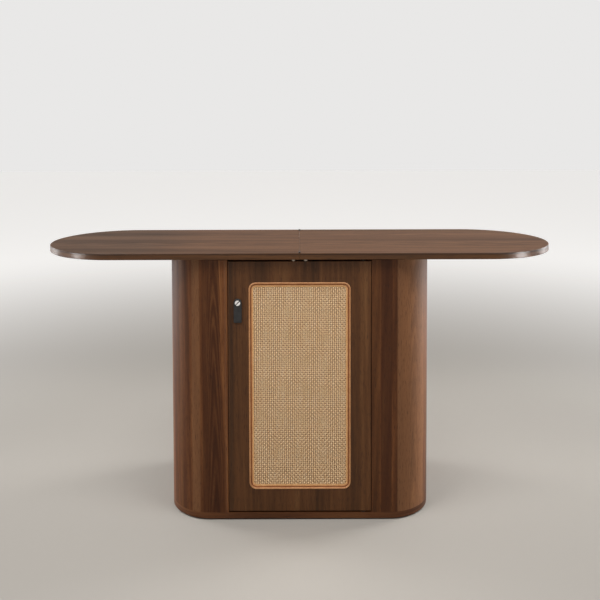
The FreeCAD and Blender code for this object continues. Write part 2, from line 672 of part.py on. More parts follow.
def fold_hinges():
    """At both ends of the seam, a strap for each leaf with eyes that mesh on one pin, and a bolt for each."""
    middle, end = "hinge_knuckle / 2", "hinge_width / 2"
    beside = f"{middle} + hinge_knuckle_gap"
    for where, sign in ENDS.items():
        y = f"{sign} * hinge_place"
        outer_eyes = [(f"-{end}", f"-({beside})"), (beside, end)]
        hinge_strap(f"hinge_strap_{where}_left", [(f"-{middle}", middle)], sign, UPRIGHT, y)
        hinge_strap(f"hinge_strap_{where}_right", outer_eyes, -sign, HALF_TURN, y)
        pin_start = ("0", f"{y} + {end}", "table_height + hinge_rise")
        pin = rod(f"hinge_pin_{where}", pin_start, "hinge_pin_radius", "hinge_width", ALONG_Y)
        keep(pin, f"hinge_pin_{where}")
        for side, across in SIDES.items():
            hinge_bolt(f"hinge_bolt_{where}_{side}", f"{across} * bolt_from_seam",
                       f"{sign} * (hinge_place + bolt_out)")


bottom_board()
shell()
uprights_and_shelf()
deck()
floor_glides()
slide()
door_panel()
door_pivots()
door_stop_and_catch()
cane_sheet()
cane_edging()
pull()
leaf("left", UPRIGHT)
leaf("right", HALF_TURN)
fold_hinges()
doc.recompute()


# Every feature is sound, every cut takes something away, and every piece is one valid solid

for item in doc.Objects:
    if "Invalid" in item.State or "Error" in item.State:
        raise RuntimeError(f"{item.Label} failed: {item.State}")
    if item.TypeId == "PartDesign::Pocket" and item.Shape.Volume >= item.BaseFeature.Shape.Volume:
        raise RuntimeError(f"{item.Label} cuts nothing")
for item in subparts:
    if item.Shape.isNull() or not item.Shape.isValid() or len(item.Shape.Solids) != 1:
        raise RuntimeError(f"{item.Label} is not one valid solid")

os.makedirs("parts", exist_ok=True)
for item in subparts:
    item.Shape.exportStep(f"parts/{item.Label}.step")
print(f"{len(subparts)} sub-parts written")
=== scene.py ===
import math
import bpy
import bmesh
from mathutils import Euler, Matrix, Vector


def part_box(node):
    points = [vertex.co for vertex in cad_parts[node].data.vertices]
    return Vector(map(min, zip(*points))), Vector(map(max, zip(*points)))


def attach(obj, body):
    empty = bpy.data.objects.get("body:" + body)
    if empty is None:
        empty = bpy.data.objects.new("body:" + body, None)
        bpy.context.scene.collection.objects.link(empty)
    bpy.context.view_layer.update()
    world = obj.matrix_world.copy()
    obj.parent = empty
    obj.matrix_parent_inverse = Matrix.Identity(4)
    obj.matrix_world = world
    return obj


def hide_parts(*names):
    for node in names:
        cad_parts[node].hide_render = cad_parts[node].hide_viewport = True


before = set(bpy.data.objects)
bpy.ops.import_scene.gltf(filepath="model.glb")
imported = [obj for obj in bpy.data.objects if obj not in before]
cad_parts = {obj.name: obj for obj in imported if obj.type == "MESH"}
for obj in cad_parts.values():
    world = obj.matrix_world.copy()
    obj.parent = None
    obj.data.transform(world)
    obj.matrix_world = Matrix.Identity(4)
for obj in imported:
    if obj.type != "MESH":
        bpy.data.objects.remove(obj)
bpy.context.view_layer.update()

# Bottom board and floor glides
# The cabinet stands on a walnut-veneered board with round corners, seen as a thin band at the foot.
# Four low moulded plastic glides are screwed under its corners and keep it just off the floor.
MM = 0.001


def linear(hex_colour):
    """An sRGB hex colour as the linear colour that shaders take."""
    channels = [int(hex_colour[i:i + 2], 16) / 255 for i in (1, 3, 5)]
    return [c / 12.92 if c <= 0.04045 else ((c + 0.055) / 1.055) ** 2.4 for c in channels] + [1]


def add(tree, kind, inputs=None, stops=(), **settings):
    """One node with its settings and, for a ramp, (place, hex colour) stops; given sockets are linked."""
    node = tree.nodes.new(kind)
    for name, setting in settings.items():
        setattr(node, name, setting)
    for key, given in (inputs or {}).items():
        if isinstance(given, bpy.types.NodeSocket):
            tree.links.new(given, node.inputs[key])
        else:
            node.inputs[key].default_value = given
    for i, (place, hex_colour) in enumerate(stops):
        elements = node.color_ramp.elements
        stop = elements[i] if i < len(elements) else elements.new(place)
        stop.position = place
        stop.color = linear(hex_colour)
    return node


def new_material(name):
    """An empty material with its shader, which the caller links patterns to."""
    material = bpy.data.materials.new(name)
    material.use_nodes = True
    tree = material.node_tree
    tree.nodes.clear()
    shader = add(tree, "ShaderNodeBsdfPrincipled")
    add(tree, "ShaderNodeOutputMaterial", {"Surface": shader.outputs["BSDF"]})
    return material, tree, shader


def paint(material, *names):
    """Give CAD nodes this finish."""
    for name in names:
        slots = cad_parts[name].data.materials
        slots.clear()
        slots.append(material)


# Walnut, plain-sliced veneer under a satin clear lacquer. Long fibres with fine dark pores, slow bands
# from grey-brown to red-brown, and ring lines that open into flames. The lacquer gives a soft sheen.
UP = (0, 0, 0)
ALONG = (0, math.radians(90), 0)
GRAIN_STRETCH_SHARE = 0.035
RING_SPACING = 15 * MM
FIBRE_WIDTH = 4 * MM
FIBRE_SHARE = 0.45
BAND_WIDTH = 70 * MM
# Real pores are a few tenths of a millimetre wide; they are drawn wider so that they show.
PORE_WIDTH = 1.3 * MM
PORE_STRETCH_SHARE = 0.06
PORE_DEPTH = 0.15 * MM
PORE_DARKNESS_SHARE = 0.55
# A wave texture at scale 1 repeats every twentieth of a full turn.
WAVE_TURN = math.tau / 20
FLAME_SLOPE = 0.09
FLAME_ARCHES = 4
FLAME_SWAY = 90 * MM
BAND_WANDER = 14 * MM
BAND_EDGE = 5 * MM
# How far down an edge band the dark line under its upper edge is full, and where it has faded out.
RIM_LINE = 3 * MM
RIM_LINE_FADE = 6 * MM
RIM_LINE_DARKNESS_SHARE = 0.6


def flamed(tree, grained, across, rise, bands, flame):
    """Add one column of nested arches to the grain; a flame is (centre, width, strength)."""
    centre, width, strength = flame
    offset = add(tree, "ShaderNodeMath", {0: across, 1: centre}, operation="SUBTRACT").outputs[0]
    square = add(tree, "ShaderNodeMath", {0: offset, 1: offset}, operation="MULTIPLY").outputs[0]
    slope = add(tree, "ShaderNodeMath", {0: rise, 1: FLAME_SLOPE}, operation="MULTIPLY").outputs[0]
    sway = add(tree, "ShaderNodeMath", {
        0: bands, 1: FLAME_SWAY, 2: slope}, operation="MULTIPLY_ADD").outputs[0]
    bend = FLAME_ARCHES * RING_SPACING / (width / 2) ** 2
    arch = add(tree, "ShaderNodeMath", {
        0: square, 1: bend, 2: sway}, operation="MULTIPLY_ADD").outputs[0]
    arched = add(tree, "ShaderNodeCombineXYZ", {"X": offset, "Z": arch}).outputs[0]
    lines = add(tree, "ShaderNodeTexWave", {
        "Vector": arched, "Scale": WAVE_TURN / RING_SPACING, "Distortion": 4, "Detail": 3,
        "Detail Scale": 0.8}, wave_type="BANDS", bands_direction="Z")
    evened = add(tree, "ShaderNodeMath", {
        0: lines.outputs["Fac"], 1: 0.5}, operation="SUBTRACT").outputs[0]
    away = add(tree, "ShaderNodeMath", {0: offset}, operation="ABSOLUTE").outputs[0]
    share = add(tree, "ShaderNodeMapRange", {
        "Value": away, "From Min": width / 2, "From Max": 0, "To Max": strength},
        interpolation_type="SMOOTHSTEP").outputs["Result"]
    return add(tree, "ShaderNodeMath", {
        0: evened, 1: share, 2: grained}, operation="MULTIPLY_ADD").outputs[0]


def streaked_and_shaded(tree, colour, across, bands, streak_and_shading):
    """Lay a wandering band of wood tone and painted light and shade on the colour; it is (centre, width,
    strength, colour).
    """
    centre, width, strength, hex_colour = streak_and_shading
    wander = add(tree, "ShaderNodeMath", {
        0: bands, 1: BAND_WANDER, 2: across}, operation="MULTIPLY_ADD").outputs[0]
    offset = add(tree, "ShaderNodeMath", {
        0: wander, 1: centre + BAND_WANDER / 2}, operation="SUBTRACT")
    away = add(tree, "ShaderNodeMath", {0: offset.outputs[0]}, operation="ABSOLUTE").outputs[0]
    share = add(tree, "ShaderNodeMapRange", {
        "Value": away, "From Min": width / 2, "From Max": width / 2 - BAND_EDGE, "To Max": strength},
        interpolation_type="SMOOTHSTEP").outputs["Result"]
    return add(tree, "ShaderNodeMix", {
        "Factor": share, 6: colour, 7: linear(hex_colour)}, data_type="RGBA").outputs[2]


def shaded_toward_end(tree, colour, along, end_shade):
    """Paint shade on the colour along the grain toward one end; an end shade is (where it starts, where
    it is full, strength).
    """
    start, full, strength = end_shade
    share = add(tree, "ShaderNodeMapRange", {
        "Value": along, "From Min": start, "From Max": full, "To Max": strength},
        interpolation_type="SMOOTHSTEP").outputs["Result"]
    return add(tree, "ShaderNodeMix", {
        "Factor": share, 6: colour, 7: linear("#281905")}, data_type="RGBA").outputs[2]


def rim_top_lined(tree, colour, place, flat, level):
    """A dark line at the upper border of an edge band, under a face at this level."""
    height = add(tree, "ShaderNodeSeparateXYZ", {0: place}).outputs["Z"]
    line = add(tree, "ShaderNodeMapRange", {
        "Value": height, "From Min": level - RIM_LINE_FADE, "From Max": level - RIM_LINE,
        "To Max": RIM_LINE_DARKNESS_SHARE}).outputs["Result"]
    share = add(tree, "ShaderNodeMapRange", {
        "Value": flat, "From Min": 0.5, "From Max": 0.2, "To Max": line}).outputs["Result"]
    return add(tree, "ShaderNodeMix", {
        "Factor": share, 6: colour, 7: linear("#140a05")}, data_type="RGBA").outputs[2]


def walnut(name, grain, leaf_from, tilt, tones, ring_share=0.2, streaks_and_shading=(), flames=(), across="X",
           edge_banded=False, sheen=0.32, rim_sheen=0.32, rim_dullness_share=1, dark_line_under=None,
           end_shade=None):
    """Walnut veneer with any streaks and painted shading, flames, painted end shade and banded edge.

    It is cut at its own place in the log, in metres, and at its own tilt, in radians. The band on the rim
    may be polished, and is darker in a line just under its upper edge if the level of the face above it
    is given.
    """
    material, tree, shader = new_material(name)
    place = add(tree, "ShaderNodeTexCoord")
    turned = add(tree, "ShaderNodeMapping", {
        "Vector": place.outputs["Object"], "Rotation": grain}).outputs["Vector"]
    if edge_banded:
        banded = add(tree, "ShaderNodeMapping", {
            "Vector": place.outputs["Object"], "Rotation": (math.radians(90), 0, 0),
            "Scale": (GRAIN_STRETCH_SHARE, GRAIN_STRETCH_SHARE, 1)}).outputs["Vector"]
        facing = add(tree, "ShaderNodeSeparateXYZ", {0: place.outputs["Normal"]})
        flat = add(tree, "ShaderNodeMath", {0: facing.outputs["Z"]}, operation="ABSOLUTE").outputs[0]
        turned = add(tree, "ShaderNodeMix", {
            "Factor": flat, 4: banded, 5: turned}, data_type="VECTOR").outputs[1]
    log = add(tree, "ShaderNodeMapping", {
        "Vector": turned, "Location": leaf_from, "Rotation": tilt}).outputs["Vector"]
    drawn = add(tree, "ShaderNodeMapping", {
        "Vector": log, "Scale": (1, 1, GRAIN_STRETCH_SHARE)}).outputs["Vector"]
    rings = add(tree, "ShaderNodeTexWave", {
        "Vector": drawn, "Scale": WAVE_TURN / RING_SPACING, "Distortion": 11, "Detail": 3,
        "Detail Scale": 0.4, "Detail Roughness": 0.6}, wave_type="RINGS", rings_direction="Z")
    bands = add(tree, "ShaderNodeTexNoise", {
        "Vector": drawn, "Scale": 1 / BAND_WIDTH, "Detail": 3, "Roughness": 0.55,
        "Distortion": 0.6}).outputs["Fac"]
    fibres = add(tree, "ShaderNodeTexNoise", {
        "Vector": drawn, "Scale": 1 / FIBRE_WIDTH, "Detail": 4, "Roughness": 0.65})
    short = add(tree, "ShaderNodeMapping", {
        "Vector": log, "Scale": (1, 1, PORE_STRETCH_SHARE)}).outputs["Vector"]
    pores = add(tree, "ShaderNodeTexNoise", {
        "Vector": short, "Scale": 1 / PORE_WIDTH, "Detail": 1, "Roughness": 0.5}).outputs["Fac"]
    figure = add(tree, "ShaderNodeMath", {
        0: rings.outputs["Fac"], 1: ring_share, 2: bands}, operation="MULTIPLY_ADD")
    grained = add(tree, "ShaderNodeMath", {
        0: fibres.outputs["Fac"], 1: FIBRE_SHARE, 2: figure.outputs[0]},
        operation="MULTIPLY_ADD").outputs[0]
    spot = add(tree, "ShaderNodeSeparateXYZ", {0: turned})
    for flame in flames:
        grained = flamed(tree, grained, spot.outputs[across], spot.outputs["Z"], bands, flame)
    tone = add(tree, "ShaderNodeMapRange", {
        "Value": grained, "From Min": 0.5, "From Max": 1 + ring_share}).outputs["Result"]
    colour = add(tree, "ShaderNodeValToRGB", {"Fac": tone}, tones).outputs["Color"]
    for streak_and_shading in streaks_and_shading:
        colour = streaked_and_shaded(tree, colour, spot.outputs[across], bands, streak_and_shading)
    if end_shade:
        colour = shaded_toward_end(tree, colour, spot.outputs["Z"], end_shade)
    if dark_line_under:
        colour = rim_top_lined(tree, colour, place.outputs["Object"], flat, dark_line_under)
    pits = add(tree, "ShaderNodeMapRange", {
        "Value": pores, "From Min": 0.42, "From Max": 0.3, "To Max": PORE_DARKNESS_SHARE})
    colour = add(tree, "ShaderNodeMix", {
        "Factor": pits.outputs["Result"], 6: colour, 7: linear("#1c0f07")}, data_type="RGBA").outputs[2]
    gloss = add(tree, "ShaderNodeMapRange", {
        "Value": grained, "From Min": 0.5, "From Max": 1.15, "To Min": 0.62,
        "To Max": 0.5}).outputs["Result"]
    shader.inputs["Specular IOR Level"].default_value = sheen
    if edge_banded:
        face = add(tree, "ShaderNodeMapRange", {
            "Value": flat, "From Min": 0.8, "From Max": 0.95}).outputs["Result"]
        dullness = add(tree, "ShaderNodeMapRange", {"Value": face, "To Min": rim_dullness_share})
        gloss = add(tree, "ShaderNodeMath", {
            0: gloss, 1: dullness.outputs["Result"]}, operation="MULTIPLY").outputs[0]
        lacquer = add(tree, "ShaderNodeMapRange", {"Value": face, "To Min": rim_sheen, "To Max": sheen})
        tree.links.new(lacquer.outputs["Result"], shader.inputs["Specular IOR Level"])
    grooves = add(tree, "ShaderNodeBump", {"Height": pores, "Strength": 0.35, "Distance": PORE_DEPTH})
    tree.links.new(colour, shader.inputs["Base Color"])
    tree.links.new(gloss, shader.inputs["Roughness"])
    tree.links.new(grooves.outputs["Normal"], shader.inputs["Normal"])
    shader.inputs["IOR"].default_value = 1.45
    return material


FOOT_TONES = [(0, "#321706"), (0.35, "#4a270f"), (0.65, "#5f371a"), (1, "#794d2a")]
foot_walnut = walnut("walnut_foot", ALONG, (0.4, 0.13, 0.2), (0, 0.02, 0.3), FOOT_TONES,
                     edge_banded=True)
paint(foot_walnut, "bottom_board")

# Moulded black nylon with a fine matt grain from the mould.
MOULD_GRAIN = 1.2 * MM
MOULD_DEPTH = 0.05 * MM


def moulded(name, dark, pale):
    """A moulded plastic with a fine sparked texture."""
    material, tree, shader = new_material(name)
    place = add(tree, "ShaderNodeTexCoord")
    grain = add(tree, "ShaderNodeTexNoise", {
        "Vector": place.outputs["Object"], "Scale": 1 / MOULD_GRAIN, "Detail": 2})
    skin = add(tree, "ShaderNodeBump", {
        "Height": grain.outputs["Fac"], "Strength": 0.25, "Distance": MOULD_DEPTH})
    dull = add(tree, "ShaderNodeMapRange", {
        "Value": grain.outputs["Fac"], "To Min": 0.42, "To Max": 0.62})
    colour = add(tree, "ShaderNodeValToRGB", {"Fac": grain.outputs["Fac"]}, [(0.3, dark), (0.7, pale)])
    tree.links.new(colour.outputs["Color"], shader.inputs["Base Color"])
    tree.links.new(dull.outputs["Result"], shader.inputs["Roughness"])
    tree.links.new(skin.outputs["Normal"], shader.inputs["Normal"])
    shader.inputs["IOR"].default_value = 1.53
    return material


nylon = moulded("moulded_nylon", "#1c1b1a", "#2b2a28")
ENDS = ("front", "rear")
SIDES = ("left", "right")
CORNERS = [f"{end}_{side}" for end in ENDS for side in SIDES]
paint(nylon, *[f"floor_glide_{corner}" for corner in CORNERS])

# Cabinet shell
# Four bent plywood corners, two flat ends and a back, all veneered in walnut with the grain upright.
# They are glued to the bottom board and to each other, and the front corners run on to the door opening.
REDWOOD = [(0, "#361907"), (0.35, "#4f2a10"), (0.65, "#663b1c"), (1, "#82532d")]
# The bands laid on the front corners wander with the grain: partly streaks of other wood, partly painted
# highlight and painted shade where the corners turn toward and away from the light and beside the door
# opening.
LEFT_STREAKS_AND_SHADING = [
    (-291 * MM, 28 * MM, 0.55, "#7f593b"), (-248 * MM, 54 * MM, 0.65, "#401f08"),
    (-338 * MM, 14 * MM, 0.35, "#744b26"), (-206 * MM, 8 * MM, 0.4, "#75503a"),
]
RIGHT_STREAKS_AND_SHADING = [
    (244 * MM, 36 * MM, 0.7, "#371804"), (315 * MM, 88 * MM, 0.55, "#8a6040"),
    (213 * MM, 30 * MM, 0.45, "#46290f"),
]
LEFT_FLAMES = [(-240 * MM, 60 * MM, 0.52)]
RIGHT_FLAMES = [(322 * MM, 56 * MM, 0.4)]
paint(walnut("walnut_corner_left", UP, (0.31, 0.14, 0.1), (0.02, 0.012, 0), REDWOOD, 0.13,
             LEFT_STREAKS_AND_SHADING, LEFT_FLAMES, sheen=0.26), "corner_front_left")
paint(walnut("walnut_corner_right", UP, (-0.29, 0.13, 0.6), (0.025, -0.012, 0), REDWOOD, 0.13,
             RIGHT_STREAKS_AND_SHADING, RIGHT_FLAMES, sheen=0.26), "corner_front_right")
BACK_FLAMES = [(-120 * MM, 150 * MM, 0.4), (130 * MM, 120 * MM, 0.35)]
shell_walnut = walnut("walnut_shell", UP, (0.12, -0.27, 0.4), (0.02, 0.012, 0), REDWOOD, 0.1,
                      flames=BACK_FLAMES)
paint(shell_walnut, "back_panel")
for side in SIDES:
    paint(shell_walnut, f"corner_rear_{side}", f"end_panel_{side}")

# Inside boards
# Two uprights beside the door opening, a deck under the leaves and one shelf resting on four metal pegs.
# All are walnut-veneered board; on the deck and the shelf the grain runs from side to side.
GREYWOOD = [(0, "#36200c"), (0.35, "#4b2c12"), (0.65, "#5b3719"), (1, "#6c4726")]
inside_walnut = walnut("walnut_inside", UP, (0.5, 0.4, 0.3), (0.04, 0, 0), GREYWOOD)
paint(inside_walnut, "upright_left", "upright_right")
board_walnut = walnut("walnut_board", ALONG, (0.2, 0.5, 0.7), (0.03, 0.02, 0), GREYWOOD)
paint(board_walnut, "deck", "shelf")

# Nickel plate on steel: a softened mirror, broken by the faint lines of polishing.
POLISH_LINE = 1.5 * MM


def plated(name, dark, pale, dullest, line_stretch, metallic=1):
    """A plated or anodised metal with lines drawn along one axis."""
    material, tree, shader = new_material(name)
    place = add(tree, "ShaderNodeTexCoord")
    lined = add(tree, "ShaderNodeMapping", {
        "Vector": place.outputs["Object"], "Scale": line_stretch}).outputs["Vector"]
    lines = add(tree, "ShaderNodeTexNoise", {
        "Vector": lined, "Scale": 1 / POLISH_LINE, "Detail": 3, "Roughness": 0.6}).outputs["Fac"]
    dull = add(tree, "ShaderNodeMapRange", {
        "Value": lines, "From Min": 0.3, "From Max": 0.7, "To Min": dullest / 2, "To Max": dullest})
    colour = add(tree, "ShaderNodeValToRGB", {"Fac": lines}, [(0.3, dark), (0.7, pale)])
    tree.links.new(colour.outputs["Color"], shader.inputs["Base Color"])
    tree.links.new(dull.outputs["Result"], shader.inputs["Roughness"])
    shader.inputs["Metallic"].default_value = metallic
    return material


nickel = plated("nickel_plate", "#bdbab4", "#d8d6d2", 0.34, (1, 1, 0.2))
paint(nickel, *[f"shelf_pin_{corner}" for corner in CORNERS])

# Slide rails, runners and glide strips
# Two anodised aluminium channels are let into the deck; T-shaped runners under the left leaf slide in
# them. Nylon strips on the deck carry the leaves. Countersunk screws hold the channels and the strips.
aluminium = plated("anodised_aluminium", "#a9abad", "#c3c5c7", 0.5, (0.03, 1, 1))
paint(aluminium, "slide_rail_front", "slide_rail_rear", "runner_front", "runner_rear")
paint(nylon, "glide_strip_left", "glide_strip_right")

SHARP_TURN = math.radians(40)
HEAD_SIDES = 24
DRIVER_SIDES = 6
SCREW_RADIUS = 3 * MM
SCREW_RISE = 0.3 * MM
SCREW_SUNK = 0.5 * MM


def skinned(name, rings):
    """A closed mesh drawn over rings of points, from the first ring to the last."""
    mesh = bmesh.new()
    loops = [[mesh.verts.new(point) for point in ring] for ring in rings]
    for near, far in zip(loops, loops[1:]):
        for i in range(len(near)):
            j = (i + 1) % len(near)
            mesh.faces.new((near[i], near[j], far[j], far[i]))
    mesh.faces.new(loops[0])
    mesh.faces.new(loops[-1])
    bmesh.ops.recalc_face_normals(mesh, faces=mesh.faces)
    made = bpy.data.objects.new(name, bpy.data.meshes.new(name))
    mesh.to_mesh(made.data)
    mesh.free()
    made.data.shade_smooth()
    made.data.set_sharp_from_angle(angle=SHARP_TURN)
    return made


def turned_head(name, radius, levels):
    """A round head with a driver hole, facing up; a level is (radius share, height, six-sided)."""
    corner = math.tau / DRIVER_SIDES
    rings = []
    for share, height, six_sided in levels:
        turns = [math.tau * i / HEAD_SIDES for i in range(HEAD_SIDES)]
        flats = [math.cos(corner / 2) / math.cos(t % corner - corner / 2) if six_sided else 1
                 for t in turns]
        rings.append([(radius * share * flat * math.cos(t), radius * share * flat * math.sin(t), height)
                      for t, flat in zip(turns, flats)])
    return skinned(name, rings)


def new_tree(name, inputs):
    """A geometry tree with named inputs, given as (name, kind), and its way in and out."""
    tree = bpy.data.node_groups.new(name, "GeometryNodeTree")
    for label, kind in inputs:
        tree.interface.new_socket(label, in_out="INPUT", socket_type=f"NodeSocket{kind}")
    tree.interface.new_socket("Geometry", in_out="OUTPUT", socket_type="NodeSocketGeometry")
    return tree, add(tree, "NodeGroupInput")


def grown(name, tree, settings, body):
    """Run a geometry tree with its inputs set, and keep the result as a plain mesh on a body."""
    piece = bpy.data.objects.new(name, bpy.data.meshes.new(name))
    bpy.context.scene.collection.objects.link(piece)
    modifier = piece.modifiers.new(tree.name, "NODES")
    modifier.node_group = tree
    for item in tree.interface.items_tree:
        if item.in_out == "INPUT":
            modifier[item.identifier] = settings[item.name]
    evaluated = piece.evaluated_get(bpy.context.evaluated_depsgraph_get())
    piece.data = bpy.data.meshes.new_from_object(evaluated)
    piece.modifiers.clear()
    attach(piece, body)
    return piece


screw_row, row_in = new_tree("screw_row", [
    ("Count", "Int"), ("Start", "Vector"), ("Step", "Vector"), ("Turn", "Vector"), ("Head", "Object"),
    ("Finish", "Material")])
row_line = add(screw_row, "GeometryNodeMeshLine", {
    "Count": row_in.outputs["Count"], "Start Location": row_in.outputs["Start"],
    "Offset": row_in.outputs["Step"]}, mode="OFFSET")
row_head = add(screw_row, "GeometryNodeObjectInfo", {"Object": row_in.outputs["Head"]})
row_heads = add(screw_row, "GeometryNodeInstanceOnPoints", {
    "Points": row_line.outputs["Mesh"], "Instance": row_head.outputs["Geometry"],
    "Rotation": row_in.outputs["Turn"]})
row_real = add(screw_row, "GeometryNodeRealizeInstances", {"Geometry": row_heads.outputs["Instances"]})
row_set = add(screw_row, "GeometryNodeSetMaterial", {
    "Geometry": row_real.outputs["Geometry"], "Material": row_in.outputs["Finish"]})
add(screw_row, "NodeGroupOutput", {"Geometry": row_set.outputs["Geometry"]})

fixing_head = turned_head("fixing_head", SCREW_RADIUS, [
    (1, -SCREW_SUNK, False), (1, 0, False), (0.82, SCREW_RISE, False), (0.45, SCREW_RISE, True),
    (0.4, SCREW_RISE - SCREW_SUNK, True)])
FACING_UP = (0, 0, 0)


def screws(name, count, start, step, body, head=fixing_head, finish=nickel, turn=FACING_UP):
    """A row of screws or bolts on a body."""
    return grown(name, screw_row, {
        "Count": count, "Start": start, "Step": step, "Turn": turn, "Head": head, "Finish": finish},
        body)


RAIL_SCREWS = 5
RAIL_SCREW_MARGIN = 30 * MM
RAIL_FLOOR = 2 * MM
for end in ENDS:
    low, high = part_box(f"slide_rail_{end}")
    span = high.x - low.x - 2 * RAIL_SCREW_MARGIN
    screws(f"rail_screws_{end}", RAIL_SCREWS,
           (low.x + RAIL_SCREW_MARGIN, (low.y + high.y) / 2, low.z + RAIL_FLOOR),
           (span / (RAIL_SCREWS - 1), 0, 0), "base")

STRIP_SCREWS = 3
STRIP_SCREW_MARGIN = 25 * MM
for side in SIDES:
    low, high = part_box(f"glide_strip_{side}")
    span = high.y - low.y - 2 * STRIP_SCREW_MARGIN
    screws(f"strip_screws_{side}", STRIP_SCREWS,
           ((low.x + high.x) / 2, low.y + STRIP_SCREW_MARGIN, high.z - SCREW_RISE),
           (0, span / (STRIP_SCREWS - 1), 0), "base")

# Door and its pivots
# A veneered slab that fills the front opening and swings on two steel pins at its right edge.
# The near-black pins turn in a plastic bush below and a plate above; a stop and a magnet hold it shut.
# The dark band down the door's left edge is painted shade beside the gap.
DOOR_EDGE_SHADE = [(-192 * MM, 17 * MM, 0.5, "#2f1b0a")]
door_walnut = walnut("walnut_door", UP, (0.05, 0.27, 0.8), (0.01, 0.005, 0), GREYWOOD, 0.1, DOOR_EDGE_SHADE)
paint(door_walnut, "door_panel")
near_black_steel = plated("near_black_steel", "#141211", "#24211f", 0.5, (1, 1, 0.2))
paint(near_black_steel, "pivot_plate", "pivot_pin_lower", "pivot_pin_upper")
paint(nickel, "strike_plate")
paint(nylon, "pivot_bush", "door_stop", "magnetic_catch")

# Cane panel
# Woven rattan cane over a plain backing, let into a shallow recess in the door. Flat strands go over
# and under each other, three rings of reed border the weave, and a half-round bead is glued round it.
CANE_PITCH = 5.9 * MM
STRAND_WIDTH = 5 * MM
STRAND_THICKNESS = 0.6 * MM
STRAND_RISE = 0.5 * MM
STRAND_FIBRE = 0.9 * MM
FIBRE_DEPTH = 0.1 * MM
SKIN_PATCH = 35 * MM
# How much the strands and the patches count for the tone, beside the fibres.
STRAND_SHARE = 0.7
PATCH_SHARE = 0.2


def rattan(name, stretch, tones):
    """Split rattan: a honey skin with long fibres, paler and browner from strand to strand."""
    material, tree, shader = new_material(name)
    place = add(tree, "ShaderNodeTexCoord")
    drawn = add(tree, "ShaderNodeMapping", {
        "Vector": place.outputs["Object"], "Scale": stretch}).outputs["Vector"]
    patches = add(tree, "ShaderNodeTexNoise", {
        "Vector": place.outputs["Object"], "Scale": 1 / SKIN_PATCH, "Detail": 2})
    strands = add(tree, "ShaderNodeTexNoise", {
        "Vector": drawn, "Scale": 1 / CANE_PITCH, "Detail": 2, "Roughness": 0.7})
    fibres = add(tree, "ShaderNodeTexNoise", {"Vector": drawn, "Scale": 1 / STRAND_FIBRE, "Detail": 2})
    tone = add(tree, "ShaderNodeMath", {
        0: strands.outputs["Fac"], 1: STRAND_SHARE, 2: fibres.outputs["Fac"]}, operation="MULTIPLY_ADD")
    weathered = add(tree, "ShaderNodeMath", {
        0: patches.outputs["Fac"], 1: PATCH_SHARE, 2: tone.outputs[0]}, operation="MULTIPLY_ADD")
    share = add(tree, "ShaderNodeMapRange", {
        "Value": weathered.outputs[0], "From Min": 0.6, "From Max": 1.3}).outputs["Result"]
    ridges = add(tree, "ShaderNodeBump", {
        "Height": fibres.outputs["Fac"], "Strength": 0.4, "Distance": FIBRE_DEPTH})
    gloss = add(tree, "ShaderNodeMapRange", {
        "Value": fibres.outputs["Fac"], "To Min": 0.45, "To Max": 0.62})
    colour = add(tree, "ShaderNodeValToRGB", {"Fac": share}, tones)
    tree.links.new(colour.outputs["Color"], shader.inputs["Base Color"])
    tree.links.new(gloss.outputs["Result"], shader.inputs["Roughness"])
    tree.links.new(ridges.outputs["Normal"], shader.inputs["Normal"])
    shader.inputs["IOR"].default_value = 1.5
    return material


REED_TONES = [(0, "#9e683d"), (0.5, "#bb8252"), (1, "#cf9c6b")]
paint(rattan("cane_backing", (1, 1, 1), [(0, "#2b1a0c"), (1, "#432a15")]), "cane_panel")
paint(rattan("reed_bead", (0.3, 0.3, 0.3), REED_TONES), "cane_trim")
# The strands that run up are paler than those across, and the difference is pushed with painted highlight
# on the one and painted shade on the other, so the crossings make a checker of two tones.
highlit_warp_cane = rattan("cane_warp", (1, 1, 0.04), [(0, "#ecc18f"), (0.5, "#fdd9a9"), (1, "#ffebc9")])
shaded_weft_cane = rattan("cane_weft", (0.04, 1, 1), [(0, "#57310c"), (0.5, "#744515"), (1, "#8f5e24")])

weave, weave_in = new_tree("cane_weave", [
    ("Strands", "Int"), ("Points", "Int"), ("Reach", "Vector"), ("Step", "Vector"), ("Pitch", "Float"),
    ("Width", "Float"), ("Thickness", "Float"), ("Rise", "Float"), ("Centre", "Vector"),
    ("Turn", "Vector"), ("Finish", "Material")])
reach = weave_in.outputs["Reach"]
run_start = add(weave, "ShaderNodeVectorMath", {0: reach, 1: (-1, 0, 0)}, operation="MULTIPLY")
run_end = add(weave, "ShaderNodeVectorMath", {0: reach, 1: (1, 0, 0)}, operation="MULTIPLY")
run = add(weave, "GeometryNodeCurvePrimitiveLine", {
    "Start": run_start.outputs[0], "End": run_end.outputs[0]})
stepped = add(weave, "GeometryNodeResampleCurve", {
    "Curve": run.outputs["Curve"], "Count": weave_in.outputs["Points"]})
side_start = add(weave, "ShaderNodeVectorMath", {0: reach, 1: (0, -1, 0)}, operation="MULTIPLY")
side_line = add(weave, "GeometryNodeMeshLine", {
    "Count": weave_in.outputs["Strands"], "Start Location": side_start.outputs[0],
    "Offset": weave_in.outputs["Step"]}, mode="OFFSET")
laid = add(weave, "GeometryNodeInstanceOnPoints", {
    "Points": side_line.outputs["Mesh"], "Instance": stepped.outputs["Curve"]})
loose = add(weave, "GeometryNodeRealizeInstances", {"Geometry": laid.outputs["Instances"]})
spot_at = add(weave, "GeometryNodeInputPosition")
from_end = add(weave, "ShaderNodeVectorMath", {0: spot_at.outputs[0], 1: reach}, operation="ADD")
half_turn = add(weave, "ShaderNodeMath", {0: math.pi, 1: weave_in.outputs["Pitch"]}, operation="DIVIDE")
turns = add(weave, "ShaderNodeVectorMath", {
    0: from_end.outputs[0], "Scale": half_turn.outputs[0]}, operation="SCALE")
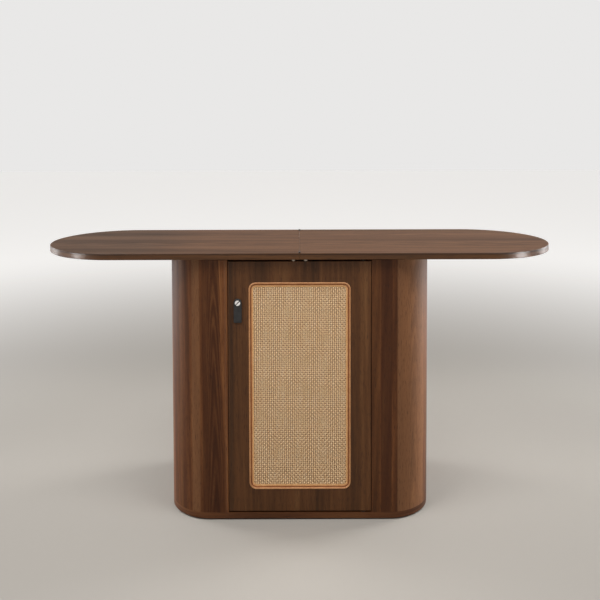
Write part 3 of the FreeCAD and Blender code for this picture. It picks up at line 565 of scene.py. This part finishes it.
swing = add(weave, "ShaderNodeVectorMath", {0: turns.outputs[0]}, operation="COSINE")
swings = add(weave, "ShaderNodeSeparateXYZ", {0: swing.outputs[0]})
over_under = add(weave, "ShaderNodeMath", {
    0: swings.outputs["X"], 1: swings.outputs["Y"]}, operation="MULTIPLY")
lift = add(weave, "ShaderNodeMath", {
    0: over_under.outputs[0], 1: weave_in.outputs["Rise"]}, operation="MULTIPLY")
lifted = add(weave, "ShaderNodeCombineXYZ", {"Z": lift.outputs[0]})
waved = add(weave, "GeometryNodeSetPosition", {
    "Geometry": loose.outputs["Geometry"], "Offset": lifted.outputs[0]})
upright = add(weave, "GeometryNodeSetCurveNormal", {"Curve": waved.outputs["Geometry"]}, mode="Z_UP")
profile = add(weave, "GeometryNodeCurvePrimitiveCircle", {"Resolution": 6, "Radius": 0.5}, mode="RADIUS")
flattened = add(weave, "GeometryNodeTransform", {
    "Geometry": profile.outputs["Curve"],
    "Scale": add(weave, "ShaderNodeCombineXYZ", {
        "X": weave_in.outputs["Width"], "Y": weave_in.outputs["Thickness"], "Z": 1.0}).outputs[0]})
stranded = add(weave, "GeometryNodeCurveToMesh", {
    "Curve": upright.outputs["Curve"], "Profile Curve": flattened.outputs["Geometry"],
    "Fill Caps": True})
hung = add(weave, "GeometryNodeTransform", {
    "Geometry": stranded.outputs["Mesh"], "Translation": weave_in.outputs["Centre"],
    "Rotation": weave_in.outputs["Turn"]})
soft = add(weave, "GeometryNodeSetShadeSmooth", {"Geometry": hung.outputs["Geometry"]})
woven = add(weave, "GeometryNodeRealizeInstances", {"Geometry": soft.outputs["Geometry"]})
dyed = add(weave, "GeometryNodeSetMaterial", {
    "Geometry": woven.outputs["Geometry"], "Material": weave_in.outputs["Finish"]})
add(weave, "NodeGroupOutput", {"Geometry": dyed.outputs["Geometry"]})

CANE_BORDER_WIDTH = 8 * MM
border_low, border_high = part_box("cane_border")
backing_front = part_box("cane_panel")[0].y
open_width = border_high.x - border_low.x - CANE_BORDER_WIDTH
open_height = border_high.z - border_low.z - CANE_BORDER_WIDTH
weave_centre = ((border_low.x + border_high.x) / 2, backing_front - STRAND_RISE - STRAND_THICKNESS / 2,
                (border_low.z + border_high.z) / 2)
TO_FRONT = math.radians(90)


def strands(name, run_length, span, rise, turn, finish):
    """One set of strands of the weave, all running the same way."""
    crossings, count = round(run_length / CANE_PITCH), round(span / CANE_PITCH)
    grown(name, weave, {
        "Strands": count, "Points": 2 * crossings - 1, "Pitch": CANE_PITCH, "Step": (0, CANE_PITCH, 0),
        "Reach": ((crossings - 1) * CANE_PITCH / 2, (count - 1) * CANE_PITCH / 2, 0),
        "Width": STRAND_WIDTH, "Thickness": STRAND_THICKNESS, "Rise": rise, "Centre": weave_centre,
        "Turn": turn, "Finish": finish}, "door")


strands("cane_weft", open_width, open_height, STRAND_RISE, (TO_FRONT, 0, 0), shaded_weft_cane)
strands("cane_warp", open_height, open_width, -STRAND_RISE, (TO_FRONT, TO_FRONT, 0), highlit_warp_cane)

reed_ring, ring_in = new_tree("reed_ring", [
    ("Width", "Float"), ("Height", "Float"), ("Corner", "Float"), ("Reed Width", "Float"),
    ("Reed Height", "Float"), ("Centre", "Vector"), ("Turn", "Vector"), ("Finish", "Material")])
ring_path = add(reed_ring, "GeometryNodeCurvePrimitiveQuadrilateral", {
    "Width": ring_in.outputs["Width"], "Height": ring_in.outputs["Height"]}, mode="RECTANGLE")
ring_bent = add(reed_ring, "GeometryNodeFilletCurve", {
    "Curve": ring_path.outputs["Curve"], "Count": 8, "Radius": ring_in.outputs["Corner"]}, mode="POLY")
ring_upright = add(reed_ring, "GeometryNodeSetCurveNormal", {
    "Curve": ring_bent.outputs["Curve"]}, mode="Z_UP")
ring_circle = add(reed_ring, "GeometryNodeCurvePrimitiveCircle", {
    "Resolution": 10, "Radius": 0.5}, mode="RADIUS")
ring_profile = add(reed_ring, "GeometryNodeTransform", {
    "Geometry": ring_circle.outputs["Curve"],
    "Scale": add(reed_ring, "ShaderNodeCombineXYZ", {
        "X": ring_in.outputs["Reed Width"], "Y": ring_in.outputs["Reed Height"], "Z": 1.0}).outputs[0]})
ring_reed = add(reed_ring, "GeometryNodeCurveToMesh", {
    "Curve": ring_upright.outputs["Curve"], "Profile Curve": ring_profile.outputs["Geometry"]})
ring_hung = add(reed_ring, "GeometryNodeTransform", {
    "Geometry": ring_reed.outputs["Mesh"], "Translation": ring_in.outputs["Centre"],
    "Rotation": ring_in.outputs["Turn"]})
ring_soft = add(reed_ring, "GeometryNodeSetShadeSmooth", {"Geometry": ring_hung.outputs["Geometry"]})
ring_real = add(reed_ring, "GeometryNodeRealizeInstances", {"Geometry": ring_soft.outputs["Geometry"]})
ring_set = add(reed_ring, "GeometryNodeSetMaterial", {
    "Geometry": ring_real.outputs["Geometry"], "Material": ring_in.outputs["Finish"]})
add(reed_ring, "NodeGroupOutput", {"Geometry": ring_set.outputs["Geometry"]})

BORDER_CORNER = 14.5 * MM
BORDER_REED = 2.6 * MM
REED_GAP = 0.1 * MM
# The outer reed is a darker red-brown than the two inside it.
red_brown_reed = rattan("reed_red_brown", (0.3, 0.3, 0.3), [(0, "#955229"), (0.5, "#ad6838"), (1, "#be7b49")])
honey = rattan("reed_honey", (0.3, 0.3, 0.3), [(0, "#c38d58"), (0.5, "#dba66d"), (1, "#eabf8b")])
border_middle = [(low + high) / 2 for low, high in zip(border_low, border_high)]
for name, finish, inset in (("border_reed_outer", red_brown_reed, BORDER_REED / 2),
                            ("border_reed_middle", honey, BORDER_REED * 3 / 2),
                            ("border_reed_inner", honey, BORDER_REED * 5 / 2)):
    grown(name, reed_ring, {
        "Width": border_high.x - border_low.x - 2 * inset,
        "Height": border_high.z - border_low.z - 2 * inset,
        "Corner": BORDER_CORNER - inset, "Reed Width": BORDER_REED - REED_GAP,
        "Reed Height": border_high.y - border_low.y, "Centre": border_middle, "Turn": (TO_FRONT, 0, 0),
        "Finish": finish}, "door")
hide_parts("cane_border")

# Leather pull
# A short tab of black bridle leather, held to the door left of the cane by a slotted nickel screw.
# It is cut from one thickness: its edges are burnished round, and a creased line runs just inside them.
LEATHER_PEBBLE = 1.6 * MM
PEBBLE_DEPTH = 0.15 * MM
HIDE_PATCH = 12.8 * MM


def leather(name, dark, pale):
    """Bridle leather: fine pebbles with soft patches and a waxy sheen."""
    material, tree, shader = new_material(name)
    place = add(tree, "ShaderNodeTexCoord")
    pebbles = add(tree, "ShaderNodeTexVoronoi", {
        "Vector": place.outputs["Object"], "Scale": 1 / LEATHER_PEBBLE}, feature="SMOOTH_F1")
    patches = add(tree, "ShaderNodeTexNoise", {
        "Vector": place.outputs["Object"], "Scale": 1 / HIDE_PATCH, "Detail": 3})
    hide = add(tree, "ShaderNodeBump", {
        "Height": pebbles.outputs["Distance"], "Strength": 0.5, "Distance": PEBBLE_DEPTH})
    sheen = add(tree, "ShaderNodeMapRange", {
        "Value": patches.outputs["Fac"], "To Min": 0.42, "To Max": 0.62})
    colour = add(tree, "ShaderNodeValToRGB", {"Fac": patches.outputs["Fac"]}, [(0.3, dark), (0.7, pale)])
    tree.links.new(colour.outputs["Color"], shader.inputs["Base Color"])
    tree.links.new(sheen.outputs["Result"], shader.inputs["Roughness"])
    tree.links.new(hide.outputs["Normal"], shader.inputs["Normal"])
    shader.inputs["IOR"].default_value = 1.48
    return material


PULL_ARC_STEPS = 10
PULL_CORNER = 3 * MM
# From the back to the crown: how far each ring of the tab is drawn in, and its share of the thickness.
PULL_INSETS = [0.6 * MM, 0, 0, 0.5 * MM, 1.4 * MM, 2.2 * MM, 2.9 * MM, 6 * MM]
PULL_DEPTH_SHARES = [0, 0.14, 0.66, 0.86, 0.95, 0.9, 0.96, 1]
tab_low, tab_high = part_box("pull_tab")


def pull_ring(inset, depth_share):
    """One ring of the tab: a round head, straight sides and a foot with small round corners."""
    middle, half = (tab_low.x + tab_high.x) / 2, (tab_high.x - tab_low.x) / 2 - inset
    shoulder, foot = tab_high.z - half - inset, tab_low.z + inset
    corner = max(PULL_CORNER - inset, PULL_CORNER / 4)
    depth = tab_high.y + depth_share * (tab_low.y - tab_high.y)
    ring = []
    for step in range(PULL_ARC_STEPS * 2 + 1):
        turn = math.pi * step / (PULL_ARC_STEPS * 2)
        ring.append((middle + half * math.cos(turn), depth, shoulder + half * math.sin(turn)))
    for side, begin in ((-1, math.pi), (1, math.pi * 3 / 2)):
        for step in range(PULL_ARC_STEPS + 1):
            turn = begin + math.pi / 2 * step / PULL_ARC_STEPS
            ring.append((middle + side * (half - corner) + corner * math.cos(turn), depth,
                         foot + corner + corner * math.sin(turn)))
    return ring


leather_pull = skinned("leather_pull", [
    pull_ring(inset, share) for inset, share in zip(PULL_INSETS, PULL_DEPTH_SHARES)])
leather_pull.data.materials.append(leather("bridle_leather", "#1b1a1a", "#2c2b2b"))
bpy.context.scene.collection.objects.link(leather_pull)
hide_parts("pull_tab")
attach(leather_pull, "door")

# A paler nickel than on the pegs, with painted shade in the bottom of the driver slot.
SLOT_SHADOW = 0.5 * MM
slot_shaded_nickel = plated("nickel_slot_shaded", "#eceae7", "#fbfaf8", 0.5, (1, 1, 0.2), 0.7)
slot_shade_tree = slot_shaded_nickel.node_tree
slot_shade_place = add(slot_shade_tree, "ShaderNodeTexCoord")
slot_shade_spot = add(slot_shade_tree, "ShaderNodeSeparateXYZ", {0: slot_shade_place.outputs["Object"]})
screw_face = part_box("pull_screw")[0].y
slot_shade_depth = add(slot_shade_tree, "ShaderNodeMapRange", {
    "Value": slot_shade_spot.outputs["Y"], "From Min": screw_face + SLOT_SHADOW,
    "From Max": screw_face + 2 * SLOT_SHADOW})
slot_shade_shader = slot_shade_tree.nodes["Principled BSDF"]
unshaded_nickel = slot_shade_shader.inputs["Base Color"].links[0].from_socket
slot_shaded = add(slot_shade_tree, "ShaderNodeMix", {
    "Factor": slot_shade_depth.outputs["Result"], 6: unshaded_nickel, 7: linear("#14110f")}, data_type="RGBA")
slot_shade_tree.links.new(slot_shaded.outputs[2], slot_shade_shader.inputs["Base Color"])
paint(slot_shaded_nickel, "pull_screw")

# Table top
# Two veneered leaves with round ends, cut from near places in the log, their grain along the table.
# A thin band of the same walnut is glued round the edge. The left leaf slides; the right folds over it.
TOP_FLAMES = [(-60 * MM, 140 * MM, 0.22), (120 * MM, 110 * MM, 0.18)]
TOP_TONES = [(0, "#39210d"), (0.35, "#4a2d14"), (0.65, "#58371b"), (1, "#684324")]
# The left leaf is painted darker toward its left end: painted shade for the light that falls off toward
# that end of the top.
LEFT_END_SHADE = (250 * MM, 500 * MM, 0.38)
LEAF_FINISH = {"edge_banded": True, "sheen": 0.14, "rim_sheen": 0.29, "rim_dullness_share": 0.6,
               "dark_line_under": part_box("left_leaf_panel")[1].z}
paint(walnut("walnut_leaf_left", ALONG, (0.9, 0.1, 0.35), (0.01, 0.01, 0), TOP_TONES, 0.15,
             flames=TOP_FLAMES, across="Y", end_shade=LEFT_END_SHADE, **LEAF_FINISH), "left_leaf_panel")
paint(walnut("walnut_leaf_right", ALONG, (0.9, 0.13, 0.3), (0.01, 0.008, 0), TOP_TONES, 0.15,
             flames=TOP_FLAMES, across="Y", **LEAF_FINISH), "right_leaf_panel")

# A thin brown nylon strip on the left leaf's edge fills the seam between the hinges.
SEAM_CLEARANCE = 0.05 * MM
SEAM_INSET = 1.5 * MM
leaf_low, leaf_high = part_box("left_leaf_panel")
seam_left, seam_right = leaf_high.x + SEAM_CLEARANCE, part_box("right_leaf_panel")[0].x - SEAM_CLEARANCE
seam_under, seam_over = leaf_low.z + SEAM_INSET, leaf_high.z - SEAM_INSET
seam_ends = (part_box("hinge_strap_front_left")[1].y + SEAM_INSET,
             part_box("hinge_strap_rear_left")[0].y - SEAM_INSET)
seam_strip = skinned("seam_strip", [
    [(seam_left, end, seam_under), (seam_right, end, seam_under),
     (seam_right, end, seam_over), (seam_left, end, seam_over)] for end in seam_ends])
seam_strip.data.materials.append(moulded("brown_nylon", "#6b5546", "#7d6656"))
bpy.context.scene.collection.objects.link(seam_strip)
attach(seam_strip, "left_leaf")

# Fold hinges
# Angled straps of bronzed plate are let into the leaves at both ends of the seam; their eyes mesh on a
# pin. A button-headed bolt goes up through each strap into its leaf; the front pair shows under the edge.
bronzed_nickel = plated("bronzed_nickel", "#2b2018", "#413226", 0.8, (1, 0.2, 1), 0.3)
bolt_nickel = plated("bolt_nickel", "#8d867c", "#a8a198", 0.5, (1, 1, 0.2))
# From the seat to the driver hole: a level's shares of the radius and the height, and whether six-sided.
BUTTON_SHARES = [
    (1, 0, False), (1, 0.25, False), (0.93, 0.6, False), (0.76, 0.88, False), (0.52, 1, False),
    (0.42, 1, True), (0.38, 0.5, True),
]
FACING_DOWN = (math.radians(180), 0, 0)
for end in ENDS:
    paint(bronzed_nickel, f"hinge_pin_{end}")
    for side in SIDES:
        paint(bronzed_nickel, f"hinge_strap_{end}_{side}")
        low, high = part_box(f"hinge_bolt_{end}_{side}")
        radius = (high.x - low.x) / 2
        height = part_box(f"hinge_strap_{end}_{side}")[0].z - low.z
        button = turned_head(f"button_{end}_{side}", radius, [
            (wide, high_share * height, six_sided) for wide, high_share, six_sided in BUTTON_SHARES])
        seat = ((low.x + high.x) / 2, (low.y + high.y) / 2, low.z + height)
        bolt = screws(f"bolt_head_{end}_{side}", 1, seat, (0, 0, 0), f"{side}_leaf", button, bolt_nickel,
                      FACING_DOWN)
        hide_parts(f"hinge_bolt_{end}_{side}")

# Floor and light
# A plain pale floor under soft studio light: a big box light to the front left, a weaker one to the
# right and one overhead. Two gridded lights behind pick out the round corners, and the pale surround
# is brightest at the back and near the floor, where the lacquer mirrors it.
FLOOR_HALF = 14
FLOOR_NEAR = 0.9
FLOOR_FAR = 4.5
FLOOR_GLOW = 0.46
floor_mesh = bpy.data.meshes.new("floor")
floor_mesh.from_pydata([(-FLOOR_HALF, -FLOOR_HALF, 0), (FLOOR_HALF, -FLOOR_HALF, 0),
                        (FLOOR_HALF, FLOOR_HALF, 0), (-FLOOR_HALF, FLOOR_HALF, 0)], [], [(0, 1, 2, 3)])
floor = bpy.data.objects.new("floor", floor_mesh)
bpy.context.scene.collection.objects.link(floor)
floor_paint, floor_tree, floor_shader = new_material("pale_floor")
floor_place = add(floor_tree, "ShaderNodeTexCoord")
# The floor is grey near the table and is painted paler further off, where it also glows: painted light
# that fades it into the surround.
floor_reach = add(floor_tree, "ShaderNodeVectorMath", {
    0: floor_place.outputs["Object"]}, operation="LENGTH")
floor_fade = add(floor_tree, "ShaderNodeMapRange", {
    "Value": floor_reach.outputs["Value"], "From Min": FLOOR_NEAR, "From Max": FLOOR_FAR},
    interpolation_type="SMOOTHSTEP").outputs["Result"]
floor_colour = add(floor_tree, "ShaderNodeValToRGB", {
    "Fac": floor_fade}, [(0, "#a29d96"), (1, "#dddbd8")])
floor_tree.links.new(floor_colour.outputs["Color"], floor_shader.inputs["Base Color"])
floor_glow = add(floor_tree, "ShaderNodeMath", {0: floor_fade, 1: FLOOR_GLOW}, operation="MULTIPLY")
floor_tree.links.new(floor_glow.outputs[0], floor_shader.inputs["Emission Strength"])
floor_shader.inputs["Emission Color"].default_value = linear("#f4f3f2")
floor_shader.inputs["Roughness"].default_value = 0.75
floor_shader.inputs["Specular IOR Level"].default_value = 0.2
floor.data.materials.append(floor_paint)

# How bright the surround is in front, at the back and near the floor, and where it changes.
SURROUND_FRONT, SURROUND_BACK, SURROUND_LOW = 0.2, 0.9, 0.65
BACK_FROM, BACK_TO = -0.6, 0.5
LOW_FROM, LOW_TO = 0.28, 0.17
world = bpy.data.worlds.new("studio")
bpy.context.scene.world = world
world.use_nodes = True
sky_tree = world.node_tree
sky = sky_tree.nodes["Background"]
sky.inputs["Color"].default_value = linear("#f4f3f2")
toward = add(sky_tree, "ShaderNodeTexCoord")
bearing = add(sky_tree, "ShaderNodeSeparateXYZ", {0: toward.outputs["Generated"]})
surround = add(sky_tree, "ShaderNodeMapRange", {
    "Value": bearing.outputs["Y"], "From Min": BACK_FROM, "From Max": BACK_TO, "To Min": SURROUND_FRONT,
    "To Max": SURROUND_BACK}, interpolation_type="SMOOTHSTEP")
horizon = add(sky_tree, "ShaderNodeMapRange", {
    "Value": bearing.outputs["Z"], "From Min": LOW_FROM, "From Max": LOW_TO, "To Max": SURROUND_LOW},
    interpolation_type="SMOOTHSTEP")
backdrop = add(sky_tree, "ShaderNodeMath", {
    0: surround.outputs["Result"], 1: horizon.outputs["Result"]}, operation="MAXIMUM")
sky_tree.links.new(backdrop.outputs[0], sky.inputs["Strength"])


def box_light(name, place, aim, width, power, spread):
    """A soft square light aimed at a point; a grid over it narrows its spread."""
    lamp = bpy.data.lights.new(name, "AREA")
    lamp.size = width
    lamp.energy = power
    lamp.spread = spread
    holder = bpy.data.objects.new(name, lamp)
    holder.location = place
    holder.rotation_euler = (Vector(aim) - Vector(place)).to_track_quat("-Z", "Y").to_euler()
    bpy.context.scene.collection.objects.link(holder)
    return holder


MIDDLE = (0, 0, 0.45)
OPEN_SPREAD, GRID_SPREAD = math.radians(180), math.radians(50)
# Each light's name, place in metres, width, power in watts and spread.
LIGHTS = [
    ("light_left", (-1.7, -1.4, 3.4), 1.6, 69, OPEN_SPREAD),
    ("light_right", (1.8, -1.3, 3.3), 1.6, 60, OPEN_SPREAD),
    ("light_above", (0, -0.4, 2.9), 2, 5, OPEN_SPREAD),
    ("light_far_left", (-2.2, 0.9, 0.9), 1, 7, GRID_SPREAD),
    ("light_far_right", (2.2, 0.9, 0.9), 1, 9, GRID_SPREAD),
]
for name, place, width, power, spread in LIGHTS:
    box_light(name, place, MIDDLE, width, power, spread)

# A small gridded light low at each side is linked to the leaves alone: it gleams where their rim turns.
GLEAM_SPREAD = math.radians(16)
GLEAM_WIDTH = 0.4
GLEAM_PLACE = Vector((2.4, -1.03, 0.38))
RIM_TURN = Vector((0.62, -0.2, 0.74))
leaves = bpy.data.collections.new("leaves")
for side in SIDES:
    leaves.objects.link(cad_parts[f"{side}_leaf_panel"])
# Each gleam's side, its direction along the table and its power in watts.
GLEAMS = [("left", -1, 0.33), ("right", 1, 0.52)]
for side, direction, power in GLEAMS:
    mirrored = Vector((direction, 1, 1))
    gleam = box_light(f"gleam_{side}", GLEAM_PLACE * mirrored, RIM_TURN * mirrored, GLEAM_WIDTH, power,
                      GLEAM_SPREAD)
    gleam.light_linking.receiver_collection = leaves
    gleam.visible_diffuse = False
bpy.context.scene.view_settings.view_transform = "Standard"

# Camera
# It stands straight in front, a little above the top, and looks down slightly; the picture is square.
CAMERA_PLACE = (0, -2.2356, 1.1288)
PITCH, YAW, ROLL = math.radians(2.421), math.radians(0.06), math.radians(-0.145)
LENS, SENSOR = 44.154, 36
SHIFT_DOWN = -0.249
view = bpy.data.cameras.new("camera")
view.lens = LENS
view.sensor_width = SENSOR
view.shift_y = SHIFT_DOWN
camera = bpy.data.objects.new("camera", view)
aimed = Euler((math.radians(90) - PITCH, 0, -YAW)).to_matrix().to_4x4()
camera.matrix_world = Matrix.Translation(CAMERA_PLACE) @ aimed @ Matrix.Rotation(ROLL, 4, "Z")
bpy.context.scene.collection.objects.link(camera)
bpy.context.scene.camera = camera
